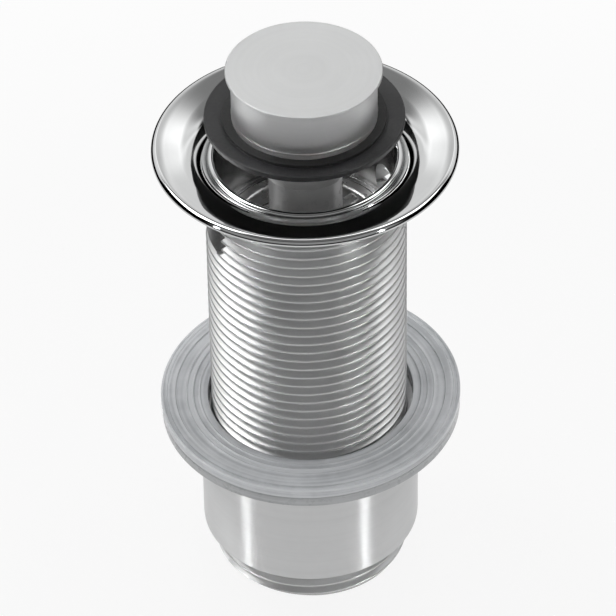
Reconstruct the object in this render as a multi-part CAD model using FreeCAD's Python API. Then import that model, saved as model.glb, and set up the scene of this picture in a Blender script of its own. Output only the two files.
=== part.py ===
import FreeCAD, Part
import math
import os

# A slotted basin waste with a sprung plug, standing upright on its threaded tail.
# Millimetres, +Z up. The origin is the centre of the tail's end face, on the tube's axis.

# Threaded tube, a pipe thread of one and a quarter inches
rim_height = 109.6
thread_radius = 20.95
thread_pitch = 2.309
thread_depth = 1.3
first_crest = 1.49
tail_chamfer = 1.0
thread_relief = 2.5
tail_wall = 1.75
tail_bore_length = 24.2
waterway_wall = 2.05

# Flange: a full round rim, a dished face and a raised seat for the seal
flange_radius = 31.7
rim_rounding = 0.65
rim_crown = 0.2
rim_dish_angle = 13.0
dish_middle_radius = 25.4
dish_middle_drop = 1.39
seat_lead = 0.57
seat_mouth_drop = 2.7
seat_crest_run = 0.63
seat_crest_drop = 2.3
seat_foot_run = 0.83
seat_foot_drop = 3.45
seat_rounding = 0.3
land_drop = 2.3
land_inset = 2.2
land_width = 3.5
boss_step = 1.95
boss_drop = 5.5
throat_wall = 1.35
throat_lead_drop = 5.6

# Overflow slots through the tube's wall, a pair that face each other
slot_azimuth = 11.0
slot_width = 15.7
slot_height = 8.8
slot_corner = 3.6
slot_above_ledge = 0.2

# Ledge inside the tube, and the counterbore and shoulder that hold the spider
ledge_drop = 21.5
ledge_width = 0.9
insert_height = 4.0
insert_clearance = 0.2
shoulder_width = 1.8
shoulder_height = 2.0

# Spider
insert_wall = 2.6
insert_rounding = 1.3
arm_count = 3
arm_azimuth = 45.0
arm_width = 3.0
arm_drop = 0.8
arm_depth = 4.7
arm_overlap = 0.4
arm_rounding = 0.6
hub_radius = 8.2
hub_height = 6.0

# Barrel, its stud and what holds it to the hub
barrel_radius = 7.6
barrel_bore_radius = 6.3
barrel_length = 20.5
barrel_floor = 2.0
stud_radius = 4.9
stud_length = 13.5
stud_clearance = 0.1
stud_chamfer = 0.5
gasket_thickness = 1.0
gasket_clearance = 0.3
lock_washer_radius = 8.0
lock_washer_thickness = 1.0
lock_nut_flats = 13.0
lock_nut_height = 5.0
lock_nut_chamfer = 0.5
lock_nut_clearance = 0.05

# Ring on the barrel that stops the plunger from being pulled off
barrel_clip_drop = 1.1
barrel_clip_height = 0.8
barrel_clip_radius = 8.05
barrel_groove_depth = 0.4
clip_clearance = 0.05

# Cam guide inside the barrel
guide_clearance = 0.02
guide_bore_radius = 5.6
guide_length = 11.6
guide_collar_radius = 7.0
guide_collar_height = 0.8
guide_slot_count = 4
guide_slot_width = 2.4
guide_slot_length = 9.5
guide_tooth_height = 1.2
saw_teeth = 8
saw_core_radius = 0.5

# Rotor and its clip
rotor_clearance = 0.05
rotor_bottom_drop = 5.6
rotor_height = 3.4
rotor_tooth_height = 0.8
rotor_rib_width = 2.0
rotor_rib_radius = 6.15
rotor_rib_height = 2.4
pin_radius = 2.1
pin_clearance = 0.1
pin_tail = 0.85
rotor_clip_radius = 3.4
rotor_clip_height = 0.8
rotor_clip_groove = 0.4
rotor_clip_gap = 0.1

# Driver
driver_radius = 5.4
driver_gap = 0.15
driver_lag = 2.0
driver_crown_height = 2.8
driver_stem_radius = 4.2
socket_depth = 3.6

# Return spring
spring_mean_radius = 5.0
spring_wire_radius = 0.3
spring_turns = 5.5
spring_end_gap = 0.05
spring_wire_sides = 6

# Plunger and its bush
plunger_radius = 9.1
plunger_bore_radius = 8.2
plunger_skirt = 11.1
plunger_headroom = 9.6
plunger_roof = 2.0
plunger_chamfer = 0.4
plunger_flange_radius = 12.5
plunger_flange_thickness = 1.2
bush_length = 3.0
bush_clearance = 0.05
bush_fit = 0.02

# Seal
seal_lift = 5.9
seal_overlap = 0.27
seal_hole_clearance = 0.05
seal_flat_radius = 13.0
seal_thickness = 1.3
seal_collar_radius = 16.9
seal_collar_rise = 0.45
seal_edge_rise = 0.67
seal_edge_thickness = 1.33
seal_edge_bevel = 0.2

# Cap and the stud that joins it to the plunger and the driver
cap_radius = 14.95
cap_wall = 1.75
cap_height = 11.75
cap_roof = 2.2
cap_lip_radius = 16.03
cap_lip_thickness = 0.7
cap_bevel = 0.15
cap_ridge_lift = 1.5
cap_ridge_size = 0.12
cap_boss_radius = 5.0
cap_stud_radius = 2.9
cap_stud_clearance = 0.05
cap_stud_reach = 4.3
cap_stud_end_gap = 0.2

# Loose washers, which lie on the back nut, leaning a little and off centre. The upper one reaches
# just past the flange, and the lower one reaches nearly as far.
washer_bore_clearance = 1.05
washer_bevel = 0.2
basin_washer_margin = 0.4
basin_washer_thickness = 2.1
washer_land_width = 3.1
washer_step_depth = 0.35
washer_rib_margin = 1.8
washer_rib_pitch = 1.4
washer_rib_end_margin = 1.2
washer_rib_height = 0.25
washer_rib_width = 0.6
washer_groove_insets = (1.5, 0.7)
washer_groove_depth = 0.15
washer_groove_width = 0.3
slip_washer_inset = 0.1
slip_washer_thickness = 2.3
lean_front = 1.2
lean_left = 1.0
washer_shift = 0.4
washer_rest_gap = 0.05

# Back nut
nut_wall = 2.4
nut_bottom = 8.1
nut_length = 29.7
nut_clearance = 0.05
nut_chamfer = 0.5

AXIS_POINT = FreeCAD.Vector(0, 0, 0)
ACROSS = FreeCAD.Vector(1, 0, 0)
BACKWARD = FreeCAD.Vector(0, 1, 0)
UP = FreeCAD.Vector(0, 0, 1)
FULL_TURN = 360.0
HEX_SIDES = 6

# Radii that follow from the thread and the flange
neck_radius = thread_radius - thread_depth
tail_bore_radius = neck_radius - tail_wall
waterway_radius = neck_radius - waterway_wall
throat_radius = neck_radius - throat_wall
counterbore_radius = throat_radius - ledge_width
insert_radius = counterbore_radius - insert_clearance
insert_bore_radius = insert_radius - insert_wall
shoulder_radius = counterbore_radius - shoulder_width
boss_radius = neck_radius + boss_step
seat_mouth_radius = throat_radius + seat_lead
seat_crest_radius = seat_mouth_radius + seat_crest_run
seat_foot_radius = seat_crest_radius + seat_foot_run
seal_radius = seat_foot_radius + seal_overlap
land_outer_radius = flange_radius - land_inset
land_inner_radius = land_outer_radius - land_width
washer_bore_radius = thread_radius + washer_bore_clearance
basin_washer_radius = flange_radius + basin_washer_margin
slip_washer_radius = basin_washer_radius - slip_washer_inset
washer_step_radius = basin_washer_radius - washer_land_width
nut_bore_radius = thread_radius + nut_clearance
nut_radius = nut_bore_radius + nut_wall

# Heights that several pieces share
ledge_height = rim_height - ledge_drop
insert_bottom = ledge_height - insert_height
shoulder_bottom = insert_bottom - shoulder_height
hub_bottom = ledge_height - hub_height
barrel_base = ledge_height + gasket_thickness
barrel_top = barrel_base + barrel_length
barrel_floor_top = barrel_base + barrel_floor
clip_bottom = barrel_top - barrel_clip_drop - barrel_clip_height
clip_top = clip_bottom + barrel_clip_height
rotor_bottom = barrel_top - rotor_bottom_drop
rotor_tip = rotor_bottom + rotor_height
rotor_root = rotor_tip - rotor_tooth_height
guide_bottom = barrel_top - guide_length
seal_bottom = rim_height + seal_lift
seal_foot = seal_bottom + seal_thickness
seal_collar_top = seal_foot + seal_collar_rise
plunger_bottom = seal_bottom - plunger_skirt
roof_bottom = barrel_top + plunger_headroom
roof_top = roof_bottom + plunger_roof
cap_top = seal_collar_top + cap_height
nut_top = nut_bottom + nut_length
washer_lean = math.hypot(math.tan(math.radians(lean_front)), math.tan(math.radians(lean_left)))
slip_washer_bottom = nut_top + (nut_radius + washer_shift) * washer_lean + washer_rest_gap
slip_washer_top = slip_washer_bottom + slip_washer_thickness


def point(radius, height, azimuth=0.0):
    angle = math.radians(azimuth)
    return FreeCAD.Vector(radius * math.cos(angle), radius * math.sin(angle), height)


def lathe(*path):
    """Turned solid. The path holds (radius, height) corners, and ("arc", middle, end) for an arc."""
    start = point(*path[0])
    here = start
    edges = []
    for step in path[1:]:
        if step[0] == "arc":
            end = point(*step[2])
            edges.append(Part.Arc(here, point(*step[1]), end).toShape())
        else:
            end = point(*step)
            edges.append(Part.makeLine(here, end))
        here = end
    edges.append(Part.makeLine(here, start))
    return Part.Face(Part.Wire(edges)).revolve(AXIS_POINT, UP, FULL_TURN)


def ring(outer, inner, bottom, top):
    return lathe((inner, bottom), (outer, bottom), (outer, top), (inner, top))


def around(shape, count, first=0.0):
    """Copies of a shape, spaced evenly about the tube's axis."""
    copies = []
    for index in range(count):
        copy = shape.copy()
        copy.rotate(AXIS_POINT, UP, first + index * FULL_TURN / count)
        copies.append(copy)
    return copies


def spoke(inner, outer, width, bottom, top):
    """Upright bar that reaches from one radius to another along +X."""
    return Part.makeBox(outer - inner, width, top - bottom, FreeCAD.Vector(inner, -width / 2, bottom))


def saw_cutters(outer, flat, low, high):
    """Wedges that leave a ring of saw teeth. Each reaches from the flat height to a ramp, low to high."""
    pitch = FULL_TURN / saw_teeth
    sections = []
    for radius in (saw_core_radius, 2 * outer):
        corners = [point(radius, flat), point(radius, flat, pitch), point(radius, high, pitch), point(radius, low)]
        sections.append(Part.makePolygon(corners + corners[:1]))
    return Part.Compound(around(Part.makeLoft(sections, True, True), saw_teeth))


def thread_path(top):
    """Corners of the thread's ridges down the outside of the tube, from the top to the tail."""
    path = []
    for index in range(int((top - first_crest) / thread_pitch), 0, -1):
        crest = first_crest + index * thread_pitch
        path.append((thread_radius, crest))
        path.append((neck_radius, crest - thread_pitch / 2))
    path.append((thread_radius, first_crest))
    path.append((thread_radius - tail_chamfer, first_crest - tail_chamfer))
    path.append((thread_radius - tail_chamfer, 0))
    return path


def overflow_slot():
    """Cutter for one slot with round corners, which lies along +X through the wall."""
    bottom = ledge_height + slot_above_ledge
    cutter = spoke(shoulder_radius, flange_radius, slot_width, bottom, bottom + slot_height)
    corners = [edge for edge in cutter.Edges if edge.BoundBox.XLength > slot_corner]
    corners = [edge for edge in corners if edge.BoundBox.DiagonalLength < edge.BoundBox.XLength + slot_corner]
    return cutter.makeFillet(slot_corner, corners)


def waste_body():
    """Flange, seat and threaded tube in one piece, with the ledge inside and the overflow slots."""
    rim_centre_radius = flange_radius - rim_rounding
    rim_centre_height = rim_height + rim_crown - rim_rounding
    dish_angle = math.radians(rim_dish_angle)
    dish_end = (rim_centre_radius - rim_rounding * math.sin(dish_angle),
                rim_centre_height + rim_rounding * math.cos(dish_angle))
    seat_crest = rim_height - seat_crest_drop
    seat_mouth = rim_height - seat_mouth_drop
    seat_foot = rim_height - seat_foot_drop
    land_height = rim_height - land_drop
    boss_bottom = rim_height - boss_drop
    thread_top = boss_bottom - thread_relief
    shoulder_cone = waterway_radius - shoulder_radius
    bore_step = tail_bore_radius - waterway_radius
    turned = lathe(
        (tail_bore_radius, 0),
        (tail_bore_radius, tail_bore_length),
        (waterway_radius, tail_bore_length + bore_step),
        (waterway_radius, shoulder_bottom - shoulder_cone),
        (shoulder_radius, shoulder_bottom),
        (shoulder_radius, insert_bottom),
        (counterbore_radius, insert_bottom),
        (counterbore_radius, ledge_height),
        (throat_radius, ledge_height),
        (throat_radius, rim_height - throat_lead_drop),
        (seat_mouth_radius, seat_mouth),
        ("arc", (seat_mouth_radius + seat_rounding, seat_crest - seat_rounding / 3), (seat_crest_radius, seat_crest)),
        ("arc", (seat_foot_radius - seat_rounding, seat_crest - seat_rounding), (seat_foot_radius, seat_foot)),
        ("arc", (dish_middle_radius, rim_height - dish_middle_drop), dish_end),
        ("arc", (flange_radius, rim_centre_height), (rim_centre_radius, rim_centre_height - rim_rounding)),
        (land_outer_radius, land_height),
        (land_inner_radius, land_height),
        (boss_radius, boss_bottom),
        (neck_radius, boss_bottom),
        (neck_radius, thread_top),
        *thread_path(thread_top),
    )
    return turned.cut(Part.Compound(around(overflow_slot(), 2, slot_azimuth)))


def spider_insert():
    """Ring with three arms and a hub, which sits on the shoulder in the counterbore."""
    rounding_middle = insert_rounding * (1 - math.sqrt(0.5))
    outer_ring = lathe(
        (insert_bore_radius, insert_bottom),
        (insert_radius, insert_bottom),
        (insert_radius, ledge_height),
        (insert_bore_radius + insert_rounding, ledge_height),
        ("arc",
         (insert_bore_radius + rounding_middle, ledge_height - rounding_middle),
         (insert_bore_radius, ledge_height - insert_rounding)),
    )
    hub = ring(hub_radius, stud_radius + stud_clearance, hub_bottom, ledge_height)
    arm_top = ledge_height - arm_drop
    arm = spoke(hub_radius - arm_overlap, shoulder_radius - arm_overlap, arm_width, arm_top - arm_depth, arm_top)
    crest = [edge for edge in arm.Edges
             if edge.BoundBox.ZMin > arm_top - arm_rounding and edge.BoundBox.XLength > arm_width]
    arm = arm.makeFillet(arm_rounding, crest)
    return outer_ring.fuse([hub] + around(arm, arm_count, arm_azimuth)).removeSplitter()


def barrel():
    """Fixed tube of the cartridge, closed below, with the stud that passes through the hub."""
    stud_end = barrel_base - stud_length
    groove = barrel_radius - barrel_groove_depth - clip_clearance
    return lathe(
        (0, stud_end),
        (stud_radius - stud_chamfer, stud_end),
        (stud_radius, stud_end + stud_chamfer),
        (stud_radius, barrel_base),
        (barrel_radius, barrel_base),
        (barrel_radius, clip_bottom - clip_clearance),
        (groove, clip_bottom - clip_clearance),
        (groove, clip_top + clip_clearance),
        (barrel_radius, clip_top + clip_clearance),
        (barrel_radius, barrel_top),
        (barrel_bore_radius, barrel_top),
        (barrel_bore_radius, barrel_floor_top),
        (0, barrel_floor_top),
    )


def barrel_gasket():
    return ring(barrel_radius, stud_radius + gasket_clearance, ledge_height, barrel_base)


def lock_washer():
    return ring(lock_washer_radius, stud_radius + stud_clearance, hub_bottom - lock_washer_thickness, hub_bottom)


def lock_nut():
    """Hexagon nut on the stud, with both ends turned back at the corners."""
    top = hub_bottom - lock_washer_thickness
    bottom = top - lock_nut_height
    corner = lock_nut_flats / math.sqrt(3)
    outline = [point(corner, bottom, side * FULL_TURN / HEX_SIDES) for side in range(HEX_SIDES + 1)]
    turned = lathe(
        (stud_radius + lock_nut_clearance, bottom),
        (corner - lock_nut_chamfer, bottom),
        (corner, bottom + lock_nut_chamfer),
        (corner, top - lock_nut_chamfer),
        (corner - lock_nut_chamfer, top),
        (stud_radius + lock_nut_clearance, top),
    )
    return Part.Face(Part.makePolygon(outline)).extrude(UP * lock_nut_height).common(turned)


def barrel_clip():
    return ring(barrel_clip_radius, barrel_radius - barrel_groove_depth, clip_bottom, clip_top)


def cam_guide():
    """Sleeve in the barrel: a collar on the barrel's mouth, four slots and a saw-toothed lower end."""
    outer = barrel_bore_radius - guide_clearance
    sleeve = lathe(
        (guide_bore_radius, guide_bottom),
        (outer, guide_bottom),
        (outer, barrel_top),
        (guide_collar_radius, barrel_top),
        (guide_collar_radius, barrel_top + guide_collar_height),
        (guide_bore_radius, barrel_top + guide_collar_height),
    )
    below = guide_bottom - guide_tooth_height
    slot = spoke(guide_bore_radius / 2, guide_collar_radius, guide_slot_width,
                 below, guide_bottom + guide_slot_length)
    teeth = saw_cutters(outer, below, guide_bottom, guide_bottom + guide_tooth_height)
    return sleeve.cut(around(slot, guide_slot_count) + [teeth])


def return_spring():
    """Coil between the barrel's floor and the rotor. Its wire has flats, for a light mesh."""
    bottom = barrel_floor_top + spring_wire_radius + spring_end_gap
    rise = rotor_bottom - spring_wire_radius - spring_end_gap - bottom
    helix = Part.makeHelix(rise / spring_turns, rise, spring_mean_radius)
    helix.translate(UP * bottom)
    corners = []
    for side in range(spring_wire_sides + 1):
        across = point(spring_wire_radius, 0, side * FULL_TURN / spring_wire_sides)
        corners.append(FreeCAD.Vector(spring_mean_radius + across.x, 0, bottom + across.y))
    return Part.Wire(helix.Edges).makePipeShell([Part.makePolygon(corners)], True, True)


def rotor():
    """Ratchet ring with saw teeth on top and four ribs that run in the guide's slots."""
    outer = guide_bore_radius - rotor_clearance
    body = ring(outer, pin_radius + pin_clearance, rotor_bottom, rotor_tip)
    rib = spoke(outer - rotor_rib_width / 2, rotor_rib_radius, rotor_rib_width,
                rotor_bottom, rotor_bottom + rotor_rib_height)
    toothed = body.cut(saw_cutters(outer, rotor_tip + rotor_tooth_height, rotor_root, rotor_tip))
    return toothed.fuse(around(rib, guide_slot_count)).removeSplitter()


def rotor_clip():
    top = rotor_bottom - rotor_clip_gap
    bore = pin_radius - rotor_clip_groove + clip_clearance
    return ring(rotor_clip_radius, bore, top - rotor_clip_height, top)


def driver():
    """Pusher on the plunger: socket, stem, toothed crown, and the pin that the rotor turns on."""
    ramp_low = rotor_root + driver_gap
    ramp_high = rotor_tip + driver_gap
    crown = ring(driver_radius, pin_radius / 2, ramp_low, ramp_low + driver_crown_height)
    cutters = saw_cutters(driver_radius, rotor_root - rotor_tooth_height, ramp_low, ramp_high)
    cutters.rotate(AXIS_POINT, UP, driver_lag)
    groove_top = rotor_bottom - rotor_clip_gap + clip_clearance
    groove_bottom = groove_top - rotor_clip_height - 2 * clip_clearance
    socket = cap_stud_radius + cap_stud_clearance
    socket_floor = roof_bottom - socket_depth
    shaft = lathe(
        (0, groove_bottom - pin_tail),
        (pin_radius, groove_bottom - pin_tail),
        (pin_radius, groove_bottom),
        (pin_radius - rotor_clip_groove, groove_bottom),
        (pin_radius - rotor_clip_groove, groove_top),
        (pin_radius, groove_top),
        (pin_radius, ramp_high + driver_gap),
        (driver_stem_radius, ramp_high + driver_gap),
        (driver_stem_radius, roof_bottom),
        (socket, roof_bottom),
        (socket, socket_floor),
        (0, socket_floor),
    )
    return shaft.fuse(crown.cut(cutters)).removeSplitter()


def guide_bush():
    """Plain bush in the plunger's mouth. It runs on the barrel, and the clip stops it at the top."""
    return ring(plunger_bore_radius - bush_fit, barrel_radius + bush_clearance,
                plunger_bottom, plunger_bottom + bush_length)


def plunger():
    """Moving head that slides over the barrel, with the flange that the seal lies on."""
    hole = cap_stud_radius + cap_stud_clearance
    flange_bottom = seal_bottom - plunger_flange_thickness
    return lathe(
        (plunger_bore_radius, plunger_bottom),
        (plunger_radius - plunger_chamfer, plunger_bottom),
        (plunger_radius, plunger_bottom + plunger_chamfer),
        (plunger_radius, flange_bottom),
        (plunger_flange_radius, flange_bottom),
        (plunger_flange_radius, seal_bottom),
        (plunger_radius, seal_bottom),
        (plunger_radius, roof_top),
        (hole, roof_top),
        (hole, roof_bottom),
        (plunger_bore_radius, roof_bottom),
    )


def cap_stud():
    """Stud through the plunger's roof, from the driver's socket into the cap's boss."""
    bottom = roof_bottom - socket_depth + cap_stud_end_gap
    top = roof_top + cap_stud_reach
    return lathe((0, bottom), (cap_stud_radius, bottom), (cap_stud_radius, top), (0, top))


def plug_seal():
    """Rubber disc with a raised collar under the cap and an edge that turns up slightly."""
    hole = plunger_radius + seal_hole_clearance
    edge_bottom = seal_bottom + seal_edge_rise
    edge_top = edge_bottom + seal_edge_thickness
    return lathe(
        (hole, seal_bottom),
        (seal_flat_radius, seal_bottom),
        (seal_radius - seal_edge_bevel, edge_bottom),
        (seal_radius, edge_bottom + seal_edge_bevel),
        (seal_radius, edge_top - seal_edge_bevel),
        (seal_radius - seal_edge_bevel, edge_top),
        (seal_collar_radius, seal_foot),
        (seal_collar_radius, seal_collar_top),
        (hole, seal_collar_top),
    )


def plug_cap():
    """Turned cup with an overhanging lip, a faint ridge near its mouth and a boss inside."""
    hollow = cap_radius - cap_wall
    roof = cap_top - cap_roof
    ridge = seal_collar_top + cap_ridge_lift
    hole = cap_stud_radius + cap_stud_clearance
    hole_end = roof_top + cap_stud_reach + cap_stud_end_gap
    lip_bottom = cap_top - cap_lip_thickness
    return lathe(
        (hollow, seal_collar_top),
        (cap_radius - cap_bevel, seal_collar_top),
        (cap_radius, seal_collar_top + cap_bevel),
        (cap_radius, ridge - cap_ridge_size),
        (cap_radius + cap_ridge_size, ridge),
        (cap_radius, ridge + cap_ridge_size),
        (cap_radius, lip_bottom),
        (cap_lip_radius, lip_bottom),
        (cap_lip_radius, cap_top - cap_bevel),
        (cap_lip_radius - cap_bevel, cap_top),
        (0, cap_top),
        (0, hole_end),
        (hole, hole_end),
        (hole, roof_top),
        (cap_boss_radius, roof_top),
        (cap_boss_radius, roof),
        (hollow, roof),
    )


def lean(washer):
    """Tips a loose washer to the front and the left about the nut's top, and moves it off centre."""
    pivot = UP * nut_top
    washer.rotate(pivot, ACROSS, lean_front)
    washer.rotate(pivot, BACKWARD, -lean_left)
    washer.translate(ACROSS * washer_shift)
    return washer


def slip_washer():
    """Plain lower washer, on which the nut turns."""
    rim = slip_washer_radius - washer_bevel
    return lean(lathe(
        (washer_bore_radius, slip_washer_bottom),
        (rim, slip_washer_bottom),
        (slip_washer_radius, slip_washer_bottom + washer_bevel),
        (slip_washer_radius, slip_washer_top - washer_bevel),
        (rim, slip_washer_top),
        (washer_bore_radius, slip_washer_top),
    ))


def notches(radii, width, base, tip):
    """Corners of ridges or grooves on a washer's face, one at each radius."""
    path = []
    for radius in radii:
        path.extend(((radius - width / 2, base), (radius, tip), (radius + width / 2, base)))
    return path


def basin_washer():
    """Translucent upper washer: a raised outer land with fine grooves, and ribs inside it."""
    top = slip_washer_top + basin_washer_thickness
    floor = top - washer_step_depth
    rim = basin_washer_radius - washer_bevel
    first_rib = washer_bore_radius + washer_rib_margin
    rib_room = washer_step_radius - washer_rib_end_margin - first_rib
    ribs = [first_rib + index * washer_rib_pitch for index in range(int(rib_room / washer_rib_pitch) + 1)]
    grooves = [basin_washer_radius - inset for inset in washer_groove_insets]
    return lean(lathe(
        (washer_bore_radius, floor),
        *notches(ribs, washer_rib_width, floor, floor + washer_rib_height),
        (washer_step_radius, floor),
        (washer_step_radius, top),
        *notches(grooves, washer_groove_width, top, top - washer_groove_depth),
        (rim, top),
        (basin_washer_radius, top - washer_bevel),
        (basin_washer_radius, slip_washer_top + washer_bevel),
        (rim, slip_washer_top),
        (washer_bore_radius, slip_washer_top),
    ))


def back_nut():
    """Tall round nut. Its bore runs on the thread's crests, and its edges are turned back."""
    return lathe(
        (nut_bore_radius, nut_bottom),
        (nut_radius - nut_chamfer, nut_bottom),
        (nut_radius, nut_bottom + nut_chamfer),
        (nut_radius, nut_top - nut_chamfer),
        (nut_radius - nut_chamfer, nut_top),
        (nut_bore_radius, nut_top),
    )


NODES = (
    waste_body, spider_insert, barrel, barrel_gasket, lock_washer, lock_nut, barrel_clip,
    cam_guide, return_spring, rotor, rotor_clip, driver, guide_bush, plunger, cap_stud,
    plug_seal, plug_cap, basin_washer, slip_washer, back_nut,
)

os.makedirs("parts", exist_ok=True)
for make_node in NODES:
    solid = make_node()
    solid.exportStep("parts/" + make_node.__name__ + ".step")
    print(make_node.__name__, solid.isValid(), len(solid.Solids), round(solid.Volume, 1))
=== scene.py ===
import math

import bmesh
import bpy
from mathutils import Matrix, Vector


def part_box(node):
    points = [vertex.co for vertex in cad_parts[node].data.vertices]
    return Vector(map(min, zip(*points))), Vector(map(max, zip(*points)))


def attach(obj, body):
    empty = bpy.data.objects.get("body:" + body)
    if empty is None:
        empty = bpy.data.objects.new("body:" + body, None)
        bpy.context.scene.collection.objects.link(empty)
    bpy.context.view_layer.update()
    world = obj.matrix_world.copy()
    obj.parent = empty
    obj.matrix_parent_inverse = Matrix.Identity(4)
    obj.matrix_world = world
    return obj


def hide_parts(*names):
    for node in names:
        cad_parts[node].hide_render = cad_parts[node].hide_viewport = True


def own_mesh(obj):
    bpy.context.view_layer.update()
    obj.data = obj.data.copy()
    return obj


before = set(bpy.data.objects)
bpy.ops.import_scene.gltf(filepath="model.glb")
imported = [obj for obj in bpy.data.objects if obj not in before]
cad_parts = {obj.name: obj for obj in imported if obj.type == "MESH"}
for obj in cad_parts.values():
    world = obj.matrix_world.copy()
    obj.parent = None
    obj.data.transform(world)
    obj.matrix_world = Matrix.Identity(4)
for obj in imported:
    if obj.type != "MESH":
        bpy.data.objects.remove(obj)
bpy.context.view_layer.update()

# Sizes are in millimetres until a mesh is made. Heights start at the tail's end face.
MM = 0.001
FULL_TURN = 2 * math.pi
FINE_TURNS = 192
PLAIN_TURNS = 128
ARC_STEPS = 5
LARGEST_ROUNDING_SHARE = 0.45
TINY = 1e-6
SHARP_ANGLE = math.radians(38)


def extent(node):
    """Radius, bottom and top of a CAD node."""
    low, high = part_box(node)
    return high[0] / MM, low[2] / MM, high[2] / MM


flange_radius, _, rim_top = extent("waste_body")
insert_radius, hub_bottom, ledge_height = extent("spider_insert")
barrel_radius, stud_end, barrel_top = extent("barrel")
seal_radius, seal_bottom, seal_top = extent("plug_seal")
cap_lip_radius, cap_bottom, cap_top = extent("plug_cap")
nut_radius, nut_bottom, nut_top = extent("back_nut")
plunger_flange_radius, plunger_bottom, plunger_top = extent("plunger")

# Threaded tube
thread_radius = 20.95
thread_depth = 1.3
thread_pitch = 2.309
thread_top = 101.6
first_crest = 1.49
crest_turn = 0.75
thread_run_out = 1.5
tail_chamfer = 1.0
thread_columns = 160
thread_skin = 0.2
turns_below_crest = 2
# Stations across one ridge, as (share of the pitch above the crest, share of the depth)
thread_section = (
    (0.00, 1.00), (0.07, 0.97), (0.13, 0.86), (0.37, 0.14),
    (0.50, 0.00), (0.63, 0.14), (0.87, 0.86), (0.93, 0.97),
)

# Inside of the tube, and the flange. Pairs are (radius, drop below the rim's plane).
rim_thickness = 1.3
rim_roll = 1.1
rim_roll_steps = 12
rim_crown = 0.2
rim_plane = rim_top - rim_crown
waterway_radius = 17.6
tail_bore_radius = 17.9
tail_bore_length = 24.2
throat = (18.3, 5.6)
seat_mouth = (18.87, 2.7)
seat_crest = (19.5, 2.3)
seat_foot = (20.33, 3.45)
seat_inner_bulge = (0.25, 0.06)
seat_outer_bulge = (0.3, 0.3)
seat_steps = (6, 8)
# The flange's face falls to the seat's foot: (radius, slope in degrees)
face_slopes = (
    (20.33, 56.0), (21.5, 41.0), (23.0, 25.0), (24.5, 12.5),
    (26.0, 7.4), (29.0, 7.0), (30.2, 4.5), (30.6, 0.0),
)
face_steps = 48
boss = (21.6, 5.5)
land_drop = 2.3
land_radii = (26.0, 29.5)
counterbore_radius = 17.4
insert_height = 4.0
shoulder_radius = 15.6
shoulder_height = 2.0

# Overflow slots
slot_azimuths = (math.radians(11), math.radians(191))
slot_width = 15.7
slot_height = 8.8
slot_corner = 3.6
slot_corner_steps = 8
slot_above_ledge = 0.2
slot_reach = (12.0, 24.0)

# Spider
insert_bore_radius = 14.6
insert_rounding = 1.3
arm_azimuths = (math.radians(45), math.radians(165), math.radians(285))
arm_width = 3.0
arm_top_drop = 0.8
arm_depth = 4.7
arm_rounding = 0.6
arm_into_hub = 0.4
arm_into_ring = 0.6
hub_radius = 8.2
hub_bore_radius = 5.0

# Barrel
gasket_thickness = 1.0
barrel_bore_radius = 6.3
barrel_floor = 2.0
stud_radius = 4.9
clip_groove_radius = 7.15
clip_groove = (1.05, 1.95)

# Plunger, seal and cap
plunger_radius = 9.1
plunger_bore_radius = 8.2
plunger_flange_thickness = 1.2
plunger_roof = 2.0
stud_hole_radius = 2.95
seal_hole_radius = 9.15
seal_flat_radius = 13.0
seal_edge_rise = 0.67
seal_edge_thickness = 1.33
seal_foot_rise = 1.3
seal_collar_radius = 16.9
seal_collar_margin = 0.02
cap_radius = 14.95
cap_hollow_radius = 13.2
cap_boss_radius = 5.0
cap_lip_thickness = 0.7
cap_roof = 2.2
cap_ridge_lift = 1.5
cap_ridge_size = 0.08
cap_hole_end = 125.7

# Loose washers and the back nut
washer_bore_radius = 22.0
basin_washer_radius = 32.1
basin_washer_thickness = 2.1
slip_washer_radius = 32.0
slip_washer_thickness = 2.3
lean_front = math.radians(1.2)
lean_left = math.radians(1.0)
washer_shift = 0.4
washer_rest_gap = 0.05
washer_step_radius = 29.0
washer_step_depth = 0.35
washer_step_slant = 0.15
washer_rib_radii = (23.8, 25.2, 26.6)
washer_rib_height = 0.25
washer_rib_width = 0.6
washer_groove_radii = (30.6, 31.4)
washer_groove_depth = 0.15
washer_groove_width = 0.3
nut_bore_radius = 21.0

# Return spring
spring_turns = 5.5
spring_mean_radius = 5.0
spring_wire_radius = 0.3
spring_sides = 12
spring_steps_per_turn = 40
spring_span = (91.45, 103.65)

# Studio
floor_radius = 300
floor_drop = 0.2
floor_turns = 96
floor_glow = 0.86
floor_fade_start = 140
surround_radius = 1600
surround_turns = 64
stage_middle = 80
world_light = 0.55
# Panels of the surround: azimuth, elevation, half width, half height, softness (degrees), level
soft_panels = (
    (0, 26.5, 60, 10.5, 5, 1.05),
    (0, 52, 100, 10, 10, 0.32),
    (0, 90, 200, 30, 12, 0.22),
    (0, 68, 50, 4, 6, 3.0),
    (23, 40, 16, 4, 8, 1.1),
    (-23, 40, 16, 4, 8, 1.1),
    (0, 40, 12, 3, 8, 0.9),
    (-70, 54, 22, 15, 10, 8.4),
    (69, 54, 19, 14, 10, 3.8),
    (-118, 10, 1.5, 7, 2, 60.0),
    (129, 10, 1.5, 7, 2, 60.0),
    (180, 28, 66, 22, 16, 0.4),
    (-180, 28, 66, 22, 16, 0.4),
)
# Lamps: name, azimuth and elevation (degrees), radiance
lamps = (
    ("lamp_left", -60, 47, 2.5),
    ("lamp_right", 62, 47, 1.5),
    ("lamp_behind", 0, 40, 1.5),
)
lamp_distance = 1.1
lamp_size = 0.5
# Camera, in metres and degrees
camera_place = (0, -0.7443, 0.7060)
camera_aim = (0, 0, 0.06577)
camera_lens = 271.7
camera_shift = (0.0006, -0.00325)
camera_tilt = -0.96


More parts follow.
